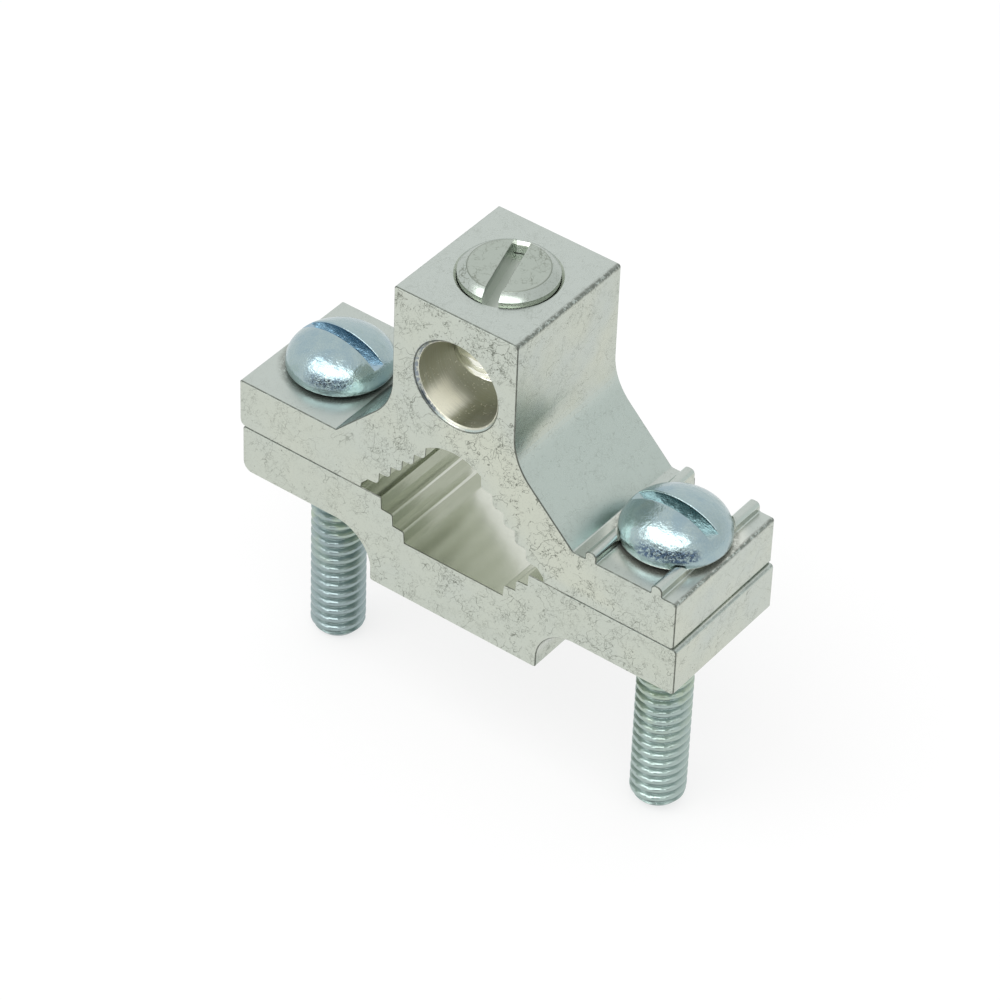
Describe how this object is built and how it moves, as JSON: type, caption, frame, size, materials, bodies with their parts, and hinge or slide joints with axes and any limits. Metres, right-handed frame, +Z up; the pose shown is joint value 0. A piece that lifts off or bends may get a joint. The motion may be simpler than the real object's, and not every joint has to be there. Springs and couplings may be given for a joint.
{
  "type": "grounding clamp",
  "caption": "Pipe grounding clamp with serrated vee jaws drawn together by slotted screws, and a bored lug on top whose set screw grips the conductor.",
  "frame": {"origin": "middle of the pipe opening, on the plane where the jaws meet, at mid depth", "axes": "+Z up to the conductor lug, +Y along the pipe and the extruded depth, +X along the jaws towards the open slot"},
  "size_m": [0.0591, 0.018, 0.0628],
  "materials": {
    "jaw_metal": "tin-plated satin aluminium",
    "zinc_steel": "bright bluish zinc plate",
    "set_screw_metal": "tin-plated aluminium"
  },
  "bodies": {
    "upper_jaw": {"upper_jaw": "jaw_metal"},
    "lower_jaw": {"lower_jaw": "jaw_metal"},
    "clamp_screw_left": {"clamp_screw_left": "zinc_steel"},
    "clamp_screw_right": {"clamp_screw_right": "zinc_steel"},
    "conductor_screw": {"conductor_screw": "set_screw_metal"}
  },
  "joints": [
    {"name": "clamp_screw_left_turn", "type": "hinge", "parent": "upper_jaw", "child": "clamp_screw_left", "pos_m": [-0.0224, 0, 0.0063], "axis": [0, 0, 1], "range_deg": [0, 6230]},
    {"name": "clamp_screw_right_turn", "type": "hinge", "parent": "upper_jaw", "child": "clamp_screw_right", "pos_m": [0.0228, 0, 0.00685], "axis": [0, 0, 1], "range_deg": [0, 6230]},
    {"name": "lower_jaw_open", "type": "slide", "parent": "upper_jaw", "child": "lower_jaw", "axis": [0, 0, -1], "range_m": [0, 0.022]},
    {"name": "conductor_screw_travel", "type": "slide", "parent": "upper_jaw", "child": "conductor_screw", "axis": [0, 0, 1], "range_m": [0, 0.0066]}
  ],
  "couplings": [
    {"joint": "clamp_screw_right_turn", "follows": "clamp_screw_left_turn", "ratio": 1},
    {"joint": "lower_jaw_open", "follows": "clamp_screw_left_turn", "m_per_rad": 0.00020213}
  ]
}
